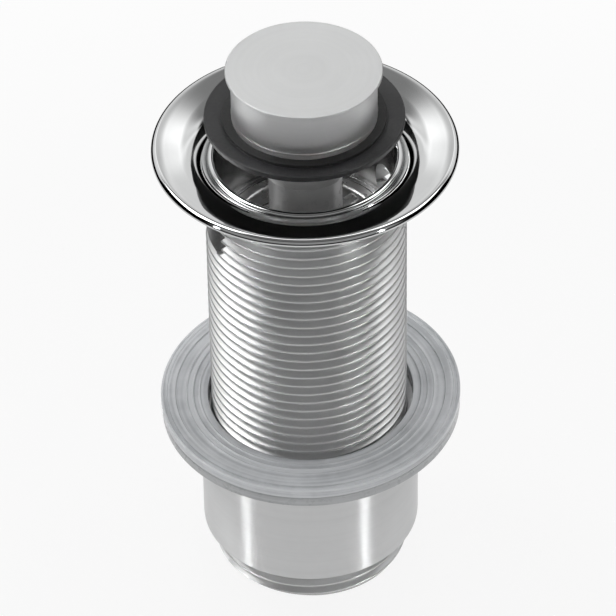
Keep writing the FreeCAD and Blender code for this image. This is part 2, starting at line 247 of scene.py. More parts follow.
# Outlines
def arc_through(first, middle, last, steps):
    """Sharp points on the arc through three (radius, height) points."""
    (ax, ay), (bx, by), (cx, cy) = first, middle, last
    scale = 2 * (ax * (by - cy) + bx * (cy - ay) + cx * (ay - by))
    squares = (ax * ax + ay * ay, bx * bx + by * by, cx * cx + cy * cy)
    centre_x = (squares[0] * (by - cy) + squares[1] * (cy - ay) + squares[2] * (ay - by)) / scale
    centre_y = (squares[0] * (cx - bx) + squares[1] * (ax - cx) + squares[2] * (bx - ax)) / scale
    radius = math.hypot(ax - centre_x, ay - centre_y)
    start = math.atan2(ay - centre_y, ax - centre_x)
    turn = (math.atan2(cy - centre_y, cx - centre_x) - start) % FULL_TURN
    if (math.atan2(by - centre_y, bx - centre_x) - start) % FULL_TURN > turn:
        turn -= FULL_TURN
    points = []
    for step in range(steps + 1):
        angle = start + turn * step / steps
        points.append((centre_x + radius * math.cos(angle), centre_y + radius * math.sin(angle), 0))
    return points


def rounded(corners):
    """A closed outline in which each (radius, height, rounding) corner becomes a small arc."""
    outline = []
    for index, (x, y, rounding) in enumerate(corners):
        if rounding == 0:
            outline.append((x, y))
            continue
        here = Vector((x, y))
        back = Vector(corners[index - 1][:2]) - here
        ahead = Vector(corners[(index + 1) % len(corners)][:2]) - here
        reach = rounding / math.tan(back.angle(ahead) / 2)
        reach = min(reach, LARGEST_ROUNDING_SHARE * min(back.length, ahead.length))
        start = here + back.normalized() * reach
        end = here + ahead.normalized() * reach
        for step in range(ARC_STEPS + 1):
            share = step / ARC_STEPS
            point = start.lerp(here, share).lerp(here.lerp(end, share), share)
            outline.append((point.x, point.y))
    return outline


# Meshes
class Skin:
    """Points in millimetres and the faces between rings of them."""

    def __init__(self):
        self.points = []
        self.faces = []

    def ring(self, points):
        first = len(self.points)
        self.points.extend(points)
        return list(range(first, len(self.points)))

    def turned_ring(self, radius, height, turns):
        if radius < TINY:
            return self.ring([Vector((0, 0, height))])
        angles = [FULL_TURN * column / turns for column in range(turns)]
        return self.ring([Vector((radius * math.cos(a), radius * math.sin(a), height)) for a in angles])

    def face(self, corners):
        unique = list(dict.fromkeys(corners))
        if len(unique) > 2:
            self.faces.append(unique)

    def stitch(self, lower, upper):
        """Faces between two closed rings. A ring of one point is a point on the axis."""
        count = max(len(lower), len(upper))
        for column in range(count):
            after = (column + 1) % count
            self.face([lower[column % len(lower)], lower[after % len(lower)],
                       upper[after % len(upper)], upper[column % len(upper)]])

    def bar(self, section, azimuth, reaches):
        """Closed bar that runs outward at an azimuth, from its (across, height) section."""
        turn = Matrix.Rotation(azimuth, 3, "Z")
        ends = []
        for reach in reaches:
            ends.append(self.ring([turn @ Vector((reach, across, height)) for across, height in section]))
        self.stitch(*ends)
        self.faces += ends

    def piece(self, name):
        """Mesh object with doubles merged and its normals turned outward."""
        mesh = bpy.data.meshes.new(name)
        mesh.from_pydata([point * MM for point in self.points], [], self.faces)
        work = bmesh.new()
        work.from_mesh(mesh)
        bmesh.ops.remove_doubles(work, verts=work.verts, dist=TINY)
        bmesh.ops.recalc_face_normals(work, faces=work.faces)
        work.to_mesh(mesh)
        work.free()
        made = bpy.data.objects.new(name, mesh)
        bpy.context.scene.collection.objects.link(made)
        smooth(made)
        return made


def smooth(piece):
    """Shades a mesh smooth up to its sharp edges, with large faces kept flat."""
    piece.data.shade_smooth()
    piece.data.set_sharp_from_angle(angle=SHARP_ANGLE)
    even = piece.modifiers.new("even_normals", "WEIGHTED_NORMAL")
    even.keep_sharp = True
    even.weight = 100


def lathe(name, corners, turns=PLAIN_TURNS):
    """Turned piece from the (radius, height, rounding) corners of its closed outline."""
    skin = Skin()
    rings = [skin.turned_ring(radius, height, turns) for radius, height in rounded(corners)]
    for index, ring in enumerate(rings):
        skin.stitch(ring, rings[(index + 1) % len(rings)])
    return skin.piece(name)


def combine(piece, others, operation):
    """Cuts the other pieces out of this one, or joins them to it, and deletes them."""
    piece.modifiers.clear()
    for other in others:
        step = piece.modifiers.new("combine", "BOOLEAN")
        step.operation = operation
        step.solver = "EXACT"
        step.object = other
    bpy.context.view_layer.update()
    result = bpy.data.meshes.new_from_object(piece.evaluated_get(bpy.context.evaluated_depsgraph_get()))
    piece.modifiers.clear()
    piece.data = result
    for other in others:
        bpy.data.objects.remove(other)
    smooth(piece)
    return piece


def dress(piece, body, node, material):
    """Puts a piece on its body, in place of its CAD node and material."""
    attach(piece, body)
    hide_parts(node)
    piece.data.materials.clear()
    piece.data.materials.append(material)


# Tube and flange
def ridge_height(phase):
    """Share of the thread's depth at a share of the pitch above a crest."""
    stations = thread_section + ((1.0, 1.0),)
    for (low, low_share), (high, high_share) in zip(stations, stations[1:]):
        if phase <= high:
            return low_share + (high_share - low_share) * (phase - low) / (high - low)
    return 1.0


def tube_surface(height, start, turn):
    """Radius of the thread's surface at a height, which runs out above and is chamfered below."""
    phase = ((height - start) / thread_pitch - turn) % 1.0
    fade = min(1.0, (thread_top - height) / thread_run_out)
    radius = thread_radius - thread_depth * (1 - ridge_height(phase) * fade)
    above_chamfer = height - (first_crest - tail_chamfer)
    return min(radius, thread_radius - tail_chamfer + min(max(above_chamfer, 0), tail_chamfer))


def thread_rings(skin):
    """Adds the faces of the helical thread, and gives its top ring and its lowest one."""
    stations = len(thread_section)
    start = first_crest - (turns_below_crest + crest_turn) * thread_pitch
    rows = stations * math.ceil((thread_top - start) / thread_pitch) + 1
    grid = []
    for row in range(rows):
        share = row // stations + thread_section[row % stations][0]
        points = []
        for column in range(thread_columns):
            turn = column / thread_columns
            height = min(max(start + (share + turn) * thread_pitch, 0.0), thread_top)
            radius = tube_surface(height, start, turn)
            angle = FULL_TURN * turn
            points.append(Vector((radius * math.cos(angle), radius * math.sin(angle), height)))
        grid.append(skin.ring(points))
    last = rows - 1
    for row in range(last):
        lower = grid[row]
        upper = grid[row + 1]
        for column in range(thread_columns - 1):
            skin.face([lower[column], lower[column + 1], upper[column + 1], upper[column]])
        lower_next = grid[min(row + stations, last)]
        upper_next = grid[min(row + 1 + stations, last)]
        skin.face([lower[-1], lower_next[0], upper_next[0], upper[-1]])
    return grid[last], grid[0]


def between(pairs, place):
    """Value at a place on the straight lines through (place, value) pairs."""
    for (low, low_value), (high, high_value) in zip(pairs, pairs[1:]):
        if place <= high:
            return low_value + (high_value - low_value) * (place - low) / (high - low)
    return pairs[-1][1]


def face_points():
    """Points of the flange's face, from above the seat's foot to the rim, out of its slopes."""
    radius = flange_radius - rim_roll
    height = rim_top
    run = (radius - seat_foot[0]) / face_steps
    points = []
    for _ in range(face_steps - 1):
        slope = between(face_slopes, radius - run / 2)
        radius -= run
        height -= run * math.tan(math.radians(slope))
        points.append((radius, height, 0))
    return points[::-1]


def flange_corners():
    """Outline of the body from the tail's bore, up the inside, over the flange to the neck."""
    def below_rim(pair, rounding=0):
        return pair[0], rim_plane - pair[1], rounding

    insert_bottom = ledge_height - insert_height
    shoulder_bottom = insert_bottom - shoulder_height
    mouth, crest, foot = [below_rim(pair)[:2] for pair in (seat_mouth, seat_crest, seat_foot)]
    inner_bulge = (mouth[0] + seat_inner_bulge[0], crest[1] - seat_inner_bulge[1])
    outer_bulge = (foot[0] - seat_outer_bulge[0], crest[1] - seat_outer_bulge[1])
    corners = [
        (tail_bore_radius, 0, 0.25),
        (tail_bore_radius, tail_bore_length, 0),
        (waterway_radius, tail_bore_length + tail_bore_radius - waterway_radius, 0),
        (waterway_radius, shoulder_bottom - waterway_radius + shoulder_radius, 0),
        (shoulder_radius, shoulder_bottom, 0),
        (shoulder_radius, insert_bottom, 0),
        (counterbore_radius, insert_bottom, 0),
        (counterbore_radius, ledge_height, 0.08),
        (throat[0], ledge_height, 0.1),
        below_rim(throat, 0.5),
    ]
    corners += arc_through(mouth, inner_bulge, crest, seat_steps[0])
    corners += arc_through(crest, outer_bulge, foot, seat_steps[1])[1:]
    corners += face_points()
    rolled = rim_roll * math.sqrt(0.5)
    corners += arc_through((flange_radius - rim_roll, rim_top),
                           (flange_radius - rim_roll + rolled, rim_top - rim_roll + rolled),
                           (flange_radius, rim_top - rim_roll), rim_roll_steps)
    corners += [
        (flange_radius, rim_top - rim_thickness, 0.25),
        (land_radii[1], rim_plane - land_drop, 0.3),
        (land_radii[0], rim_plane - land_drop, 0.3),
        below_rim(boss, 0.3),
        (thread_radius - thread_depth, rim_plane - boss[1], 0.2),
    ]
    return corners


def slot_cutter(azimuth):
    """Rounded bar through the wall at one overflow slot."""
    bottom = ledge_height + slot_above_ledge
    middle = bottom + slot_height / 2
    section = []
    for quarter in range(4):
        side = 1 if quarter in (0, 3) else -1
        rise = 1 if quarter in (0, 1) else -1
        for step in range(slot_corner_steps + 1):
            angle = math.pi / 2 * (quarter + step / slot_corner_steps)
            across = side * (slot_width / 2 - slot_corner) + slot_corner * math.cos(angle)
            up = rise * (slot_height / 2 - slot_corner) + slot_corner * math.sin(angle)
            section.append((across, middle + up))
    skin = Skin()
    skin.bar(section, azimuth, slot_reach)
    return skin.piece("slot_cutter")


def refinish(piece, material, picks):
    """Gives the faces whose middle's radius and height are picked a finish of their own."""
    piece.data.materials.append(material)
    for face in piece.data.polygons:
        middle = face.center / MM
        if picks(math.hypot(middle.x, middle.y), middle.z):
            face.material_index = len(piece.data.materials) - 1


def make_waste_body():
    skin = Skin()
    outline = rounded(flange_corners())
    rings = [skin.turned_ring(radius, height, thread_columns) for radius, height in outline]
    for lower, upper in zip(rings, rings[1:]):
        skin.stitch(lower, upper)
    top, tail = thread_rings(skin)
    skin.stitch(rings[-1], top)
    skin.stitch(tail, rings[0])
    body = skin.piece("waste_body_turned")
    return combine(body, [slot_cutter(azimuth) for azimuth in slot_azimuths], "DIFFERENCE")


def make_spider():
    """Ring, hub and three arms in one mesh."""
    insert_bottom = ledge_height - insert_height
    outer_ring = lathe("spider", (
        (insert_bore_radius, insert_bottom, 0.2),
        (insert_radius, insert_bottom, 0.2),
        (insert_radius, ledge_height, 0.15),
        (insert_bore_radius, ledge_height, insert_rounding),
    ), FINE_TURNS)
    hub = lathe("hub", (
        (hub_bore_radius, hub_bottom, 0.1),
        (hub_radius, hub_bottom, 0.4),
        (hub_radius, ledge_height, 0.2),
        (hub_bore_radius, ledge_height, 0.1),
    ), FINE_TURNS)
    top = ledge_height - arm_top_drop
    section = rounded((
        (-arm_width / 2, top - arm_depth, 0.3),
        (arm_width / 2, top - arm_depth, 0.3),
        (arm_width / 2, top, arm_rounding),
        (-arm_width / 2, top, arm_rounding),
    ))
    arms = []
    for azimuth in arm_azimuths:
        skin = Skin()
        skin.bar(section, azimuth, (hub_radius - arm_into_hub, insert_bore_radius + arm_into_ring))
        arms.append(skin.piece("arm"))
    return combine(outer_ring, [hub] + arms, "UNION")


def make_barrel():
    base = ledge_height + gasket_thickness
    return lathe("barrel_turned", (
        (0, stud_end, 0),
        (stud_radius, stud_end, 0.5),
        (stud_radius, base, 0),
        (barrel_radius, base, 0.2),
        (barrel_radius, barrel_top - clip_groove[1], 0.05),
        (clip_groove_radius, barrel_top - clip_groove[1], 0),
        (clip_groove_radius, barrel_top - clip_groove[0], 0),
        (barrel_radius, barrel_top - clip_groove[0], 0.05),
        (barrel_radius, barrel_top, 0.2),
        (barrel_bore_radius, barrel_top, 0.1),
        (barrel_bore_radius, base + barrel_floor, 0),
        (0, base + barrel_floor, 0),
    ))


def make_spring():
    """Round wire wound in a helix, with flat ends."""
    skin = Skin()
    low, high = spring_span
    steps = int(spring_turns * spring_steps_per_turn)
    rise = high - low
    climb = rise / (FULL_TURN * spring_turns * spring_mean_radius)
    rings = []
    for step in range(steps + 1):
        angle = FULL_TURN * spring_turns * step / steps
        outward = Vector((math.cos(angle), math.sin(angle), 0))
        along = Vector((-math.sin(angle), math.cos(angle), climb))
        upward = outward.cross(along).normalized()
        centre = outward * spring_mean_radius + Vector((0, 0, low + rise * step / steps))
        ring = []
        for side in range(spring_sides):
            turn = FULL_TURN * side / spring_sides
            away = outward * math.cos(turn) + upward * math.sin(turn)
            ring.append(centre + away * spring_wire_radius)
        rings.append(skin.ring(ring))
    for lower, upper in zip(rings, rings[1:]):
        skin.stitch(lower, upper)
    skin.faces += [rings[0], rings[-1]]
    return skin.piece("return_spring_wire")


# Plug
def make_plunger():
    flange_bottom = seal_bottom - plunger_flange_thickness
    return lathe("plunger_turned", (
        (plunger_bore_radius, plunger_bottom, 0.2),
        (plunger_radius, plunger_bottom, 0.4),
        (plunger_radius, flange_bottom, 0.3),
        (plunger_flange_radius, flange_bottom, 0.3),
        (plunger_flange_radius, seal_bottom, 0.2),
        (plunger_radius, seal_bottom, 0),
        (plunger_radius, plunger_top, 0.2),
        (stud_hole_radius, plunger_top, 0.1),
        (stud_hole_radius, plunger_top - plunger_roof, 0.1),
        (plunger_bore_radius, plunger_top - plunger_roof, 0.3),
    ))


def make_seal():
    edge_bottom = seal_bottom + seal_edge_rise
    return lathe("plug_seal_moulded", (
        (seal_hole_radius, seal_bottom, 0.1),
        (seal_flat_radius, seal_bottom, 0.3),
        (seal_radius, edge_bottom, 0.3),
        (seal_radius, edge_bottom + seal_edge_thickness, 0.3),
        (seal_collar_radius, seal_bottom + seal_foot_rise, 0.12),
        (seal_collar_radius, seal_top, 0.15),
        (seal_hole_radius, seal_top, 0.1),
    ), FINE_TURNS)


def make_cap():
    ridge = cap_bottom + cap_ridge_lift
    lip_bottom = cap_top - cap_lip_thickness
    return lathe("plug_cap_turned", (
        (cap_hollow_radius, cap_bottom, 0.15),
        (cap_radius, cap_bottom, 0.15),
        (cap_radius, ridge - 2 * cap_ridge_size, 0.1),
        (cap_radius + cap_ridge_size, ridge, 0.08),
        (cap_radius, ridge + 2 * cap_ridge_size, 0.1),
        (cap_radius, lip_bottom, 0.1),
        (cap_lip_radius, lip_bottom, 0.18),
        (cap_lip_radius, cap_top, 0.25),
        (0, cap_top, 0),
        (0, cap_hole_end, 0),
        (stud_hole_radius, cap_hole_end, 0),
        (stud_hole_radius, plunger_top, 0.1),
        (cap_boss_radius, plunger_top, 0.2),
        (cap_boss_radius, cap_top - cap_roof, 0.3),
        (cap_hollow_radius, cap_top - cap_roof, 0.5),
    ), FINE_TURNS)


# Washers and nut
def notches(radii, width, base, tip):
    """Corners of soft ridges or grooves on a washer's face, one at each radius."""
    corners = []
    for radius in radii:
        corners += [
            (radius - width / 2, base, 0.15),
            (radius, tip, 0.12),
            (radius + width / 2, base, 0.15),
        ]
    return corners


def lean(washer):
    """Tips a washer to the front and the left about the nut's top, and moves it off centre."""
    pivot = Vector((0, 0, nut_top * MM))
    tip = Matrix.Rotation(-lean_left, 4, "Y") @ Matrix.Rotation(lean_front, 4, "X")
    shift = Vector((washer_shift * MM, 0, 0))
    washer.data.transform(Matrix.Translation(pivot + shift) @ tip @ Matrix.Translation(-pivot))


lean_slope = math.hypot(math.tan(lean_front), math.tan(lean_left))
slip_bottom = nut_top + (nut_radius + washer_shift) * lean_slope + washer_rest_gap
slip_top = slip_bottom + slip_washer_thickness


def make_slip_washer():
    washer = lathe("slip_washer_moulded", (
        (washer_bore_radius, slip_bottom, 0.15),
        (slip_washer_radius, slip_bottom, 0.3),
        (slip_washer_radius, slip_top, 0.45),
        (washer_bore_radius, slip_top, 0.15),
    ), FINE_TURNS)
    lean(washer)
    return washer


def make_basin_washer():
    top = slip_top + basin_washer_thickness
    floor = top - washer_step_depth
    washer = lathe("basin_washer_moulded", (
        (washer_bore_radius, slip_top, 0.15),
        (basin_washer_radius, slip_top, 0.45),
        (basin_washer_radius, top, 0.3),
        *reversed(notches(washer_groove_radii, washer_groove_width, top, top - washer_groove_depth)),
        (washer_step_radius, top, 0.1),
        (washer_step_radius - washer_step_slant, floor, 0.1),
        *reversed(notches(washer_rib_radii, washer_rib_width, floor, floor + washer_rib_height)),
        (washer_bore_radius, floor, 0.2),
    ), FINE_TURNS)
    lean(washer)
    return washer


def make_nut():
    return lathe("back_nut_turned", (
        (nut_bore_radius, nut_bottom, 0.3),
        (nut_radius, nut_bottom, 0.5),
        (nut_radius, nut_top, 0.5),
        (nut_bore_radius, nut_top, 0.3),
    ), FINE_TURNS)


# Materials
noise_low = 0.3
noise_high = 0.7
metal_cloud_size = 60.0
plastic_cloud_size = 90.0
plastic_speck_size = 450.0
waver_share = 0.5
streak_turn = 0.25
ring_contrast = 1.8
milk_depth = 0.0015


def link(tree, source, target):
    tree.links.new(source, target)


def new_group(name, inputs, outputs):
    """Shader node group with named number inputs and outputs."""
    group = bpy.data.node_groups.new(name, "ShaderNodeTree")
    for label, value in inputs:
        socket = group.interface.new_socket(label, in_out="INPUT", socket_type="NodeSocketFloat")
        socket.default_value = value
    for label in outputs:
        group.interface.new_socket(label, in_out="OUTPUT", socket_type="NodeSocketFloat")
    start = group.nodes.new("NodeGroupInput")
    end = group.nodes.new("NodeGroupOutput")
    return group, start, end


def math_node(tree, operation, first, second=None):
    node = tree.nodes.new("ShaderNodeMath")
    node.operation = operation
    for socket, value in zip(node.inputs, (first, second)):
        if value is None:
            continue
        if isinstance(value, (int, float)):
            socket.default_value = value
        else:
            link(tree, value, socket)
    return node.outputs[0]


def turning_marks_group():
    """Fine lines round the axis, as a lathe tool leaves them, and a slow waver along them."""
    group, start, end = new_group("turning_marks", (("Lines per mm", 4.0),), ("Height", "Shade"))
    place = group.nodes.new("ShaderNodeTexCoord").outputs["Object"]
    split = group.nodes.new("ShaderNodeSeparateXYZ")
    link(group, place, split.inputs[0])
    across = math_node(group, "MULTIPLY", split.outputs[0], split.outputs[0])
    deep = math_node(group, "MULTIPLY", split.outputs[1], split.outputs[1])
    radius = math_node(group, "SQRT", math_node(group, "ADD", across, deep))
    per_metre = math_node(group, "MULTIPLY", start.outputs[0], 1 / MM)
    join = group.nodes.new("ShaderNodeCombineXYZ")
    link(group, math_node(group, "MULTIPLY", radius, per_metre), join.inputs[0])
    link(group, math_node(group, "MULTIPLY", split.outputs[2], per_metre), join.inputs[1])
    lines = group.nodes.new("ShaderNodeTexNoise")
    lines.inputs["Scale"].default_value = 1.0
    lines.inputs["Detail"].default_value = 3.0
    link(group, join.outputs[0], lines.inputs["Vector"])
    slow = group.nodes.new("ShaderNodeTexNoise")
    slow.inputs["Scale"].default_value = 0.12
    slow.inputs["Detail"].default_value = 2.0
    link(group, join.outputs[0], slow.inputs["Vector"])
    link(group, lines.outputs[0], end.inputs["Height"])
    link(group, slow.outputs[0], end.inputs["Shade"])
    return group


def haze_group():
    """Cloudy film and fine specks, for handled plating and plastic."""
    sizes = (("Cloud size", 60.0), ("Speck size", 900.0))
    group, start, end = new_group("surface_haze", sizes, ("Cloud", "Specks"))
    place = group.nodes.new("ShaderNodeTexCoord").outputs["Object"]
    cloud = group.nodes.new("ShaderNodeTexNoise")
    cloud.inputs["Detail"].default_value = 4.0
    cloud.inputs["Roughness"].default_value = 0.6
    link(group, place, cloud.inputs["Vector"])
    link(group, start.outputs["Cloud size"], cloud.inputs["Scale"])
    specks = group.nodes.new("ShaderNodeTexVoronoi")
    link(group, place, specks.inputs["Vector"])
    link(group, start.outputs["Speck size"], specks.inputs["Scale"])
    near = group.nodes.new("ShaderNodeMapRange")
    near.inputs["From Min"].default_value = 0.08
    near.inputs["From Max"].default_value = 0.2
    near.inputs["To Min"].default_value = 1.0
    near.inputs["To Max"].default_value = 0.0
    link(group, specks.outputs["Distance"], near.inputs["Value"])
    link(group, cloud.outputs[0], end.inputs["Cloud"])
    link(group, near.outputs[0], end.inputs["Specks"])
    return group


turning_marks = turning_marks_group()
surface_haze = haze_group()


def map_range(tree, value, low, high, start=noise_low, end=noise_high):
    """Number that goes from low to high while the value goes from start to end."""
    node = tree.nodes.new("ShaderNodeMapRange")
    node.inputs["From Min"].default_value = start
    node.inputs["From Max"].default_value = end
    node.inputs["To Min"].default_value = low
    node.inputs["To Max"].default_value = high
    link(tree, value, node.inputs["Value"])
    return node.outputs[0]


def tone(tree, value, dark, light):
    """Colour between two tones, chosen by a value in the range that noise covers."""
    node = tree.nodes.new("ShaderNodeValToRGB")
    node.color_ramp.elements[0].position = noise_low
    node.color_ramp.elements[1].position = noise_high
    node.color_ramp.elements[0].color = (*dark, 1)
    node.color_ramp.elements[1].color = (*light, 1)
    link(tree, value, node.inputs[0])
    return node.outputs[0]


def new_material(name):
    material = bpy.data.materials.new(name)
    material.use_nodes = True
    tree = material.node_tree
    return material, tree, tree.nodes["Principled BSDF"]


def add_group(tree, group, *values):
    node = tree.nodes.new("ShaderNodeGroup")
    node.node_tree = group
    for socket, value in zip(node.inputs, values):
        socket.default_value = value
    return node


def add_bump(tree, shader, height, distance):
    bump = tree.nodes.new("ShaderNodeBump")
    bump.inputs["Distance"].default_value = distance
    link(tree, height, bump.inputs["Height"])
    link(tree, bump.outputs[0], shader.inputs["Normal"])


def metal(name, dark, light, roughness, lines_per_mm, line_depth, metallic=1.0, stretch=0.0):
    """Turned or plated metal. Its lines make the bump, and a hazy film changes tone and roughness."""
    material, tree, shader = new_material(name)
    shader.inputs["Metallic"].default_value = metallic
    shader.inputs["Anisotropic"].default_value = stretch
    shader.inputs["Anisotropic Rotation"].default_value = streak_turn
    marks = add_group(tree, turning_marks, lines_per_mm)
    haze = add_group(tree, surface_haze, metal_cloud_size)
    waver = math_node(tree, "MULTIPLY", marks.outputs["Shade"], waver_share)
    mixed = math_node(tree, "ADD", haze.outputs["Cloud"], waver)
    mixed = math_node(tree, "SUBTRACT", mixed, waver_share / 2)
    link(tree, tone(tree, mixed, dark, light), shader.inputs["Base Color"])
    link(tree, map_range(tree, haze.outputs["Cloud"], *roughness), shader.inputs["Roughness"])
    add_bump(tree, shader, marks.outputs["Height"], line_depth)
    if stretch:
        tangent = tree.nodes.new("ShaderNodeTangent")
        tangent.direction_type = "RADIAL"
        tangent.axis = "Z"
        link(tree, tangent.outputs[0], shader.inputs["Tangent"])
    return material


def plastic(name, dark, light, roughness, grain_size, grain_depth,
            speck_tone=0.0, milkiness=0.0, rings=0.0):
    """Moulded plastic or rubber with a cloudy tone, a fine grain, a few specks and faint rings."""
    material, tree, shader = new_material(name)
    shader.inputs["Subsurface Weight"].default_value = milkiness
    shader.inputs["Subsurface Radius"].default_value = (1, 1, 1)
    shader.inputs["Subsurface Scale"].default_value = milk_depth
    haze = add_group(tree, surface_haze, plastic_cloud_size, plastic_speck_size)
    grain = add_group(tree, surface_haze, grain_size)
    specks = math_node(tree, "MULTIPLY", haze.outputs["Specks"], speck_tone)
    value = math_node(tree, "ADD", haze.outputs["Cloud"], specks)
    if rings:
        marks = add_group(tree, turning_marks, rings)
        shade = math_node(tree, "SUBTRACT", marks.outputs["Shade"], 0.5)
        shade = math_node(tree, "MULTIPLY", shade, ring_contrast)
        value = math_node(tree, "ADD", value, shade)
    link(tree, tone(tree, value, dark, light), shader.inputs["Base Color"])
    link(tree, map_range(tree, grain.outputs["Cloud"], *roughness), shader.inputs["Roughness"])
    add_bump(tree, shader, grain.outputs["Cloud"], grain_depth)
    return material


chrome = metal("bright_chrome", (0.53, 0.535, 0.535), (0.57, 0.575, 0.575), (0.035, 0.06), 5.0, 4e-7)
thread_satin = metal(
    "satin_thread", (0.56, 0.565, 0.565), (0.62, 0.625, 0.625), (0.34, 0.42), 7.0, 1.5e-6, metallic=0.88)
bore_satin = metal("satin_bore", (0.36, 0.36, 0.36), (0.44, 0.44, 0.44), (0.22, 0.3), 6.0, 2e-6)
insert_plate = metal(
    "dull_plate", (0.72, 0.72, 0.715), (0.78, 0.78, 0.775), (0.24, 0.32), 6.0, 2e-6, metallic=0.65)
plunger_plate = metal(
    "plunger_plate", (0.74, 0.74, 0.74), (0.82, 0.82, 0.815), (0.4, 0.5), 6.0, 2e-6, metallic=0.6)
cap_satin = metal(
    "satin_cap", (0.565, 0.57, 0.57), (0.595, 0.60, 0.60), (0.46, 0.5), 9.0, 2e-6, metallic=0.86)
nut_polish = metal(
    "turned_nut", (0.61, 0.613, 0.615), (0.66, 0.663, 0.665), (0.31, 0.34), 8.0, 1e-6,
    metallic=0.9, stretch=1.0)
brass = metal("turned_brass", (0.46, 0.30, 0.11), (0.60, 0.42, 0.18), (0.2, 0.32), 7.0, 3e-6)
nut_brass = metal("nut_brass", (0.42, 0.27, 0.10), (0.55, 0.38, 0.16), (0.25, 0.38), 5.0, 4e-6)
steel = metal("plain_steel", (0.40, 0.40, 0.41), (0.52, 0.52, 0.53), (0.18, 0.3), 8.0, 2e-6)
rubber = plastic(
    "black_rubber", (0.010, 0.010, 0.011), (0.018, 0.018, 0.019), (0.38, 0.52), 1500.0, 1.5e-5,
    speck_tone=0.2)
# Near-black, rougher rubber for the seal's collar round the cap: painted shade for the cap's shadow over
# it, darker than the seal's own rubber.
collar_painted_shade = plastic(
    "collar_painted_shade", (0.003, 0.003, 0.003), (0.006, 0.006, 0.006), (0.6, 0.7), 1500.0, 1.5e-5)
barrel_grey = plastic("satin_barrel", (0.60, 0.60, 0.60), (0.66, 0.66, 0.66), (0.25, 0.35), 600.0, 4e-6)
white_plastic = plastic("white_plastic", (0.66, 0.66, 0.63), (0.74, 0.74, 0.71), (0.3, 0.42), 900.0, 8e-6)
grey_plastic = plastic("grey_plastic", (0.15, 0.16, 0.17), (0.20, 0.21, 0.22), (0.3, 0.45), 900.0, 8e-6)
clear_plastic = plastic(
    "milky_washer", (0.47, 0.485, 0.505), (0.70, 0.715, 0.735), (0.18, 0.26), 400.0, 1.5e-6,
    milkiness=0.4, rings=5.0)
frosted_plastic = plastic(
    "frosted_washer", (0.40, 0.41, 0.42), (0.52, 0.53, 0.54), (0.24, 0.34), 500.0, 2e-6,
    milkiness=0.3, rings=5.0)


# Pieces
waste_body = make_waste_body()
dress(waste_body, "waste", "waste_body", chrome)
neck_height = rim_plane - boss[1]
thread_foot = thread_radius - thread_depth - thread_skin
refinish(waste_body, thread_satin, lambda radius, height: radius > thread_foot and height < neck_height)
refinish(waste_body, bore_satin, lambda radius, height: radius <= thread_foot and height < neck_height)
dress(make_spider(), "waste", "spider_insert", insert_plate)
dress(make_barrel(), "waste", "barrel", barrel_grey)
dress(make_plunger(), "plug", "plunger", plunger_plate)
seal = make_seal()
dress(seal, "plug", "plug_seal", rubber)
# Faces inside the collar's radius get the near-black painted shade.
refinish(seal, collar_painted_shade, lambda radius, height: radius < seal_collar_radius + seal_collar_margin)
dress(make_cap(), "plug", "plug_cap", cap_satin)
dress(make_basin_washer(), "washer_stack", "basin_washer", clear_plastic)
dress(make_slip_washer(), "washer_stack", "slip_washer", frosted_plastic)
dress(make_nut(), "nut", "back_nut", nut_polish)
spring = make_spring()
dress(spring, "waste", "return_spring", steel)
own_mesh(spring)

kept_nodes = {
    "barrel_gasket": rubber, "lock_washer": steel, "lock_nut": nut_brass, "barrel_clip": steel,
    "cam_guide": white_plastic, "rotor": grey_plastic, "rotor_clip": steel, "driver": brass,
    "guide_bush": white_plastic, "cap_stud": brass,
}
for node_name, node_material in kept_nodes.items():
    for material_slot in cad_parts[node_name].material_slots:
        material_slot.material = node_material


# Stage
def seen_directly(tree):
    """1 for a ray from the camera, a mirror or clear plastic, and 0 for one that gathers light."""
    path = tree.nodes.new("ShaderNodeLightPath")
    total = math_node(tree, "ADD", path.outputs["Is Camera Ray"], path.outputs["Is Glossy Ray"])
    total = math_node(tree, "ADD", total, path.outputs["Is Transmission Ray"])
    return math_node(tree, "MINIMUM", total, 1.0)


def make_floor():
    """Plain pale floor. Most of its white is its own, and the rest is lit, so a shadow shows."""
    skin = Skin()
    skin.faces.append(skin.turned_ring(floor_radius, -floor_drop, floor_turns))
    floor = skin.piece("floor")
    floor.modifiers.clear()
    material, tree, shader = new_material("pale_floor")
    shader.inputs["Base Color"].default_value = (0.85, 0.85, 0.85, 1)
    shader.inputs["Roughness"].default_value = 0.8
    shader.inputs["Specular IOR Level"].default_value = 0.0
    glow = tree.nodes.new("ShaderNodeEmission")
    place = tree.nodes.new("ShaderNodeTexCoord").outputs["Object"]
    reach = tree.nodes.new("ShaderNodeVectorMath")
    reach.operation = "LENGTH"
    link(tree, place, reach.inputs[0])
    own = map_range(tree, reach.outputs["Value"], floor_glow, 1.0, floor_fade_start * MM, floor_radius * MM)
    mix = tree.nodes.new("ShaderNodeMixShader")
    link(tree, math_node(tree, "MULTIPLY", seen_directly(tree), own), mix.inputs[0])
    link(tree, shader.outputs[0], mix.inputs[1])
    link(tree, glow.outputs[0], mix.inputs[2])
    link(tree, mix.outputs[0], tree.nodes["Material Output"].inputs["Surface"])
    floor.data.materials.append(material)
    return floor


